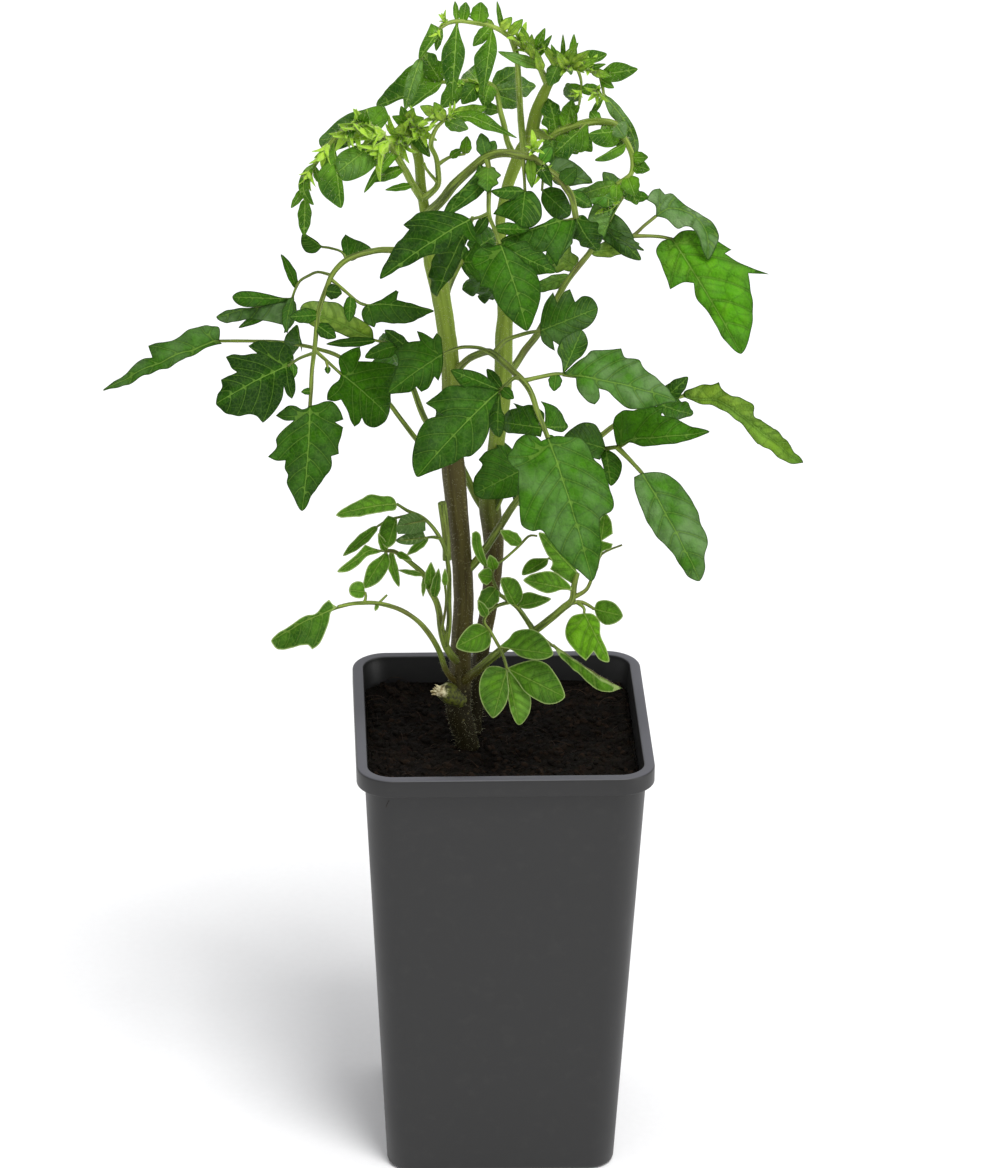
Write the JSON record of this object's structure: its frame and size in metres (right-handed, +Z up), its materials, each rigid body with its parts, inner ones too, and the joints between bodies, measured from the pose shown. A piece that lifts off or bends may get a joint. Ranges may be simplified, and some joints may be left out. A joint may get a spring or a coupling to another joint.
{
  "type": "potted tomato plant",
  "caption": "Young tomato plant with upright leaders and notched compound leaves, growing in a tall tapered square nursery pot of soil.",
  "frame": {"origin": "middle of the pot's flat underside", "axes": "+Z up along the pot and the stems, -Y towards the plant's front as it is shown, +X to its right"},
  "size_m": [0.2804, 0.1827, 0.4978],
  "materials": {
    "pot": "satin moulded polypropylene, anthracite grey",
    "soil": "moist dark potting mix with fibres",
    "stem": "olive green stem, brown towards the soil, finely hairy",
    "leaf": "dull green leaf with paler veins",
    "young_leaf": "light yellow-green young leaf"
  },
  "bodies": {
    "root": {"pot": "pot", "soil": "soil", "stem_left": "stem", "stem_right": "stem", "pruned_stub": "stem", "leaf_far_left": "leaf", "leaf_left_arch": "leaf", "leaf_left_pale": "leaf", "leaf_front_high": "leaf", "leaf_front_low": "leaf", "leaf_right_low": "leaf", "leaf_right_back": "leaf", "leaf_top_right": "young_leaf", "leaf_top_arch": "young_leaf", "leaf_pale_arch": "young_leaf", "leaf_inner_top": "young_leaf", "leaf_crown_left": "young_leaf", "crown_left": "young_leaf", "crown_right": "young_leaf", "leaf_low_left": "leaf", "shoot_left": "leaf", "shoot_right": "leaf", "leaf_behind_front": "leaf", "leaf_back_high": "leaf", "leaf_back_left": "leaf", "leaf_back_right": "leaf"}
  },
  "joints": []
}
